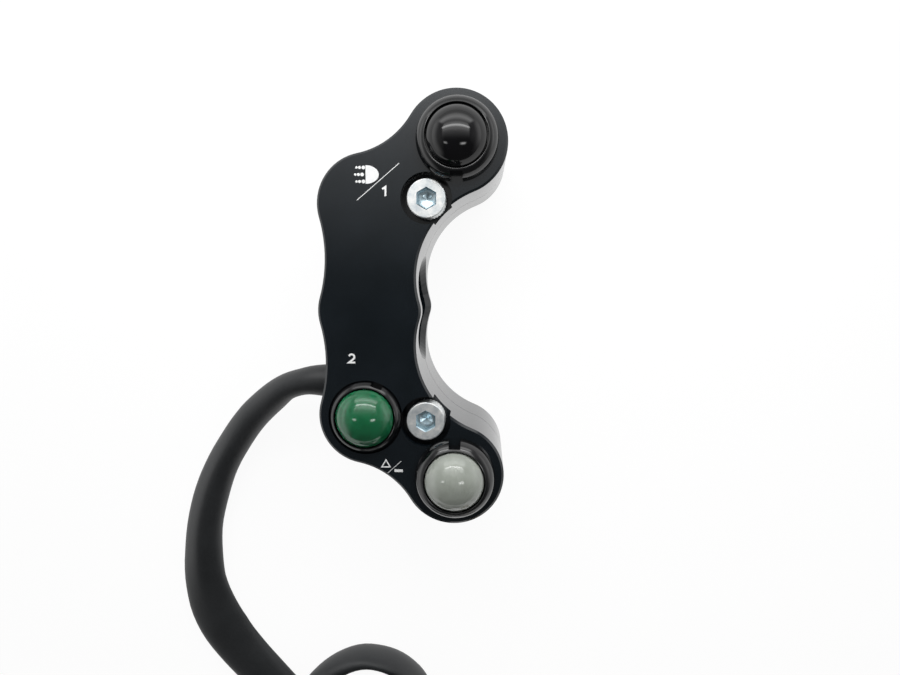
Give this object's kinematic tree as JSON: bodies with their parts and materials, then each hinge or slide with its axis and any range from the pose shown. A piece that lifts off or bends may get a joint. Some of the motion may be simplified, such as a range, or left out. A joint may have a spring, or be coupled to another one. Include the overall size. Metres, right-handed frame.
{
  "type": "handlebar switch cluster",
  "caption": "Milled split clamp for a round handlebar, carrying domed push buttons in bezels, socket cap screws, and a sleeved cable wound in a coil with a connector.",
  "frame": {"origin": "on the axis of the bar bore, near the middle of the clamp's width", "axes": "+X along the handlebar towards the hollow grip side, +Y along the long side of the button face, +Z out of the button face"},
  "size_m": [0.1067, 0.2899, 0.0392],
  "materials": {
    "black_anodised": "satin black anodised",
    "zinc_steel": "bright zinc plated",
    "spring_steel": "drawn wire",
    "bezel_plastic": "gloss black",
    "black_cap": "gloss black",
    "green_cap": "gloss dark green",
    "grey_cap": "gloss light grey",
    "base_plastic": "moulded",
    "contact_brass": "bright",
    "black_wire": "red insulation",
    "green_wire": "green insulation",
    "grey_wire": "light grey insulation",
    "black_rubber": "matt",
    "sleeve": "matt soft sleeve",
    "tie_nylon": "matt",
    "natural_nylon": "natural nylon"
  },
  "bodies": {
    "housing": {"front_shell": "black_anodised", "rear_shell": "black_anodised", "clamp_screws": "zinc_steel", "black_bezel": "bezel_plastic", "black_spring": "spring_steel", "black_gasket": "black_rubber", "black_nut": "zinc_steel", "black_base": "base_plastic", "black_terminals": "contact_brass", "black_leads": "black_wire", "green_bezel": "bezel_plastic", "green_spring": "spring_steel", "green_gasket": "black_rubber", "green_nut": "zinc_steel", "green_base": "base_plastic", "green_terminals": "contact_brass", "green_leads": "green_wire", "grey_bezel": "bezel_plastic", "grey_spring": "spring_steel", "grey_gasket": "black_rubber", "grey_nut": "zinc_steel", "grey_base": "base_plastic", "grey_terminals": "contact_brass", "grey_leads": "grey_wire", "cable_grommet": "black_rubber", "cable_lead": "sleeve", "cable_coil": "sleeve", "cable_tail": "sleeve", "cable_tie": "tie_nylon", "connector_shell": "natural_nylon", "connector_pins": "contact_brass"},
    "black_button": {"black_cap": "black_cap", "black_bridge": "contact_brass"},
    "green_button": {"green_cap": "green_cap", "green_bridge": "contact_brass"},
    "grey_button": {"grey_cap": "grey_cap", "grey_bridge": "contact_brass"}
  },
  "joints": [
    {"name": "black_press", "type": "slide", "parent": "housing", "child": "black_button", "axis": [0, 0, -1], "range_m": [0, 0.0016], "stiffness_N_per_m": 800, "deforming": ["black_spring"]},
    {"name": "green_press", "type": "slide", "parent": "housing", "child": "green_button", "axis": [0, 0, -1], "range_m": [0, 0.0016], "stiffness_N_per_m": 800, "deforming": ["green_spring"]},
    {"name": "grey_press", "type": "slide", "parent": "housing", "child": "grey_button", "axis": [0, 0, -1], "range_m": [0, 0.0016], "stiffness_N_per_m": 800, "deforming": ["grey_spring"]}
  ]
}
